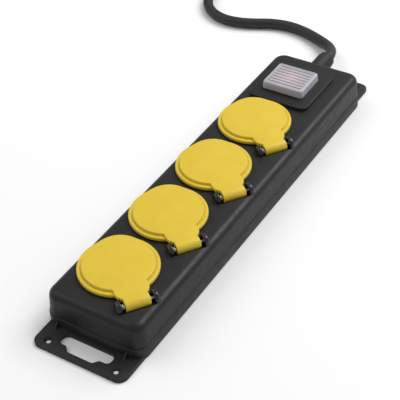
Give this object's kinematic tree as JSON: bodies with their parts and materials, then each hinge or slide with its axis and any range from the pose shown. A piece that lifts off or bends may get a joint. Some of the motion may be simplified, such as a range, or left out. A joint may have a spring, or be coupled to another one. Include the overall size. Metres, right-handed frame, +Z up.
{
  "type": "portable power strip",
  "caption": "Long black outdoor power strip with round sockets under angled hinged yellow lids, a booted lit rocker switch, slotted end tabs and a mains lead.",
  "frame": {"origin": "middle of the casing's footprint, on the floor it lies on; the lead and gland aren't counted", "axes": "+Y runs along the strip towards the mains lead, +X is the side with the lid hinges, +Z is up"},
  "size_m": [0.3707, 0.6525, 0.0428],
  "materials": {
    "black_shell": "fine-textured black moulded plastic",
    "black_base": "grained black moulded plastic",
    "yellow_lid": "satin yellow moulded plastic",
    "black_insert": "black moulded plastic",
    "black_rubber": "matt black rubber",
    "steel": "bright zinc-plated steel",
    "brass": "stamped brass strip",
    "switch_black": "satin black nylon",
    "rocker_red": "translucent red moulded plastic",
    "boot_silicone": "milky translucent silicone",
    "lamp_glass": "glass of a small neon lamp",
    "core_brown": "brown wire insulation",
    "core_blue": "blue wire insulation",
    "core_green_yellow": "green and yellow wire insulation",
    "cord_black": "black rubber cable sheath"
  },
  "bodies": {
    "casing": {"base_tray": "black_base", "top_cover": "black_shell", "casing_seal": "black_rubber", "cord_gland": "black_rubber", "plug_body": "black_rubber", "cord_tie": "black_rubber", "casing_screw_1": "steel", "casing_screw_2": "steel", "casing_screw_3": "steel", "casing_screw_4": "steel", "casing_screw_5": "steel", "casing_screw_6": "steel", "clamp_screw_1": "steel", "clamp_screw_2": "steel", "lid_spring_1": "steel", "lid_spring_2": "steel", "lid_spring_3": "steel", "lid_spring_4": "steel", "hinge_pin_1": "steel", "hinge_pin_2": "steel", "hinge_pin_3": "steel", "hinge_pin_4": "steel", "plug_pin_1": "steel", "plug_pin_2": "steel", "socket_insert_1": "black_insert", "socket_insert_2": "black_insert", "socket_insert_3": "black_insert", "socket_insert_4": "black_insert", "cord_clamp": "black_insert", "earth_clip_1": "brass", "earth_clip_2": "brass", "earth_clip_3": "brass", "earth_clip_4": "brass", "earth_busbar": "brass", "live_busbar": "brass", "neutral_busbar": "brass", "switch_body": "switch_black", "switch_boot": "boot_silicone", "glow_lamp": "lamp_glass", "live_core": "core_brown", "switched_live_core": "core_brown", "neutral_core": "core_blue", "switched_neutral_core": "core_blue", "earth_core": "core_green_yellow", "mains_cord": "cord_black", "mains_cord_inner_end": "cord_black", "mains_cord_plug_end": "cord_black", "cord_coil": "cord_black"},
    "lid_1": {"socket_lid_1": "yellow_lid", "lid_seal_1": "black_rubber"},
    "lid_2": {"socket_lid_2": "yellow_lid", "lid_seal_2": "black_rubber"},
    "lid_3": {"socket_lid_3": "yellow_lid", "lid_seal_3": "black_rubber"},
    "lid_4": {"socket_lid_4": "yellow_lid", "lid_seal_4": "black_rubber"},
    "rocker": {"rocker": "rocker_red"}
  },
  "joints": [
    {"name": "lid_hinge_1", "type": "hinge", "parent": "casing", "child": "lid_1", "pos_m": [0.02669, -0.16263, 0.0334], "axis": [0.5878, 0.809, 0], "range_deg": [0, 110], "stiffness_Nm_per_rad": 0.01, "springref_deg": -34.38},
    {"name": "lid_hinge_2", "type": "hinge", "parent": "casing", "child": "lid_2", "pos_m": [0.02669, -0.09196, 0.0334], "axis": [0.5878, 0.809, 0], "range_deg": [0, 110], "stiffness_Nm_per_rad": 0.01, "springref_deg": -34.38},
    {"name": "lid_hinge_3", "type": "hinge", "parent": "casing", "child": "lid_3", "pos_m": [0.02669, -0.02129, 0.0334], "axis": [0.5878, 0.809, 0], "range_deg": [0, 110], "stiffness_Nm_per_rad": 0.01, "springref_deg": -34.38},
    {"name": "lid_hinge_4", "type": "hinge", "parent": "casing", "child": "lid_4", "pos_m": [0.02669, 0.04938, 0.0334], "axis": [0.5878, 0.809, 0], "range_deg": [0, 110], "stiffness_Nm_per_rad": 0.01, "springref_deg": -34.38},
    {"name": "rocker_tilt", "type": "hinge", "parent": "casing", "child": "rocker", "pos_m": [-0.0052, 0.1386, 0.034], "axis": [1, 0, 0], "range_deg": [-10, 0], "deforming": ["switch_boot"]}
  ]
}
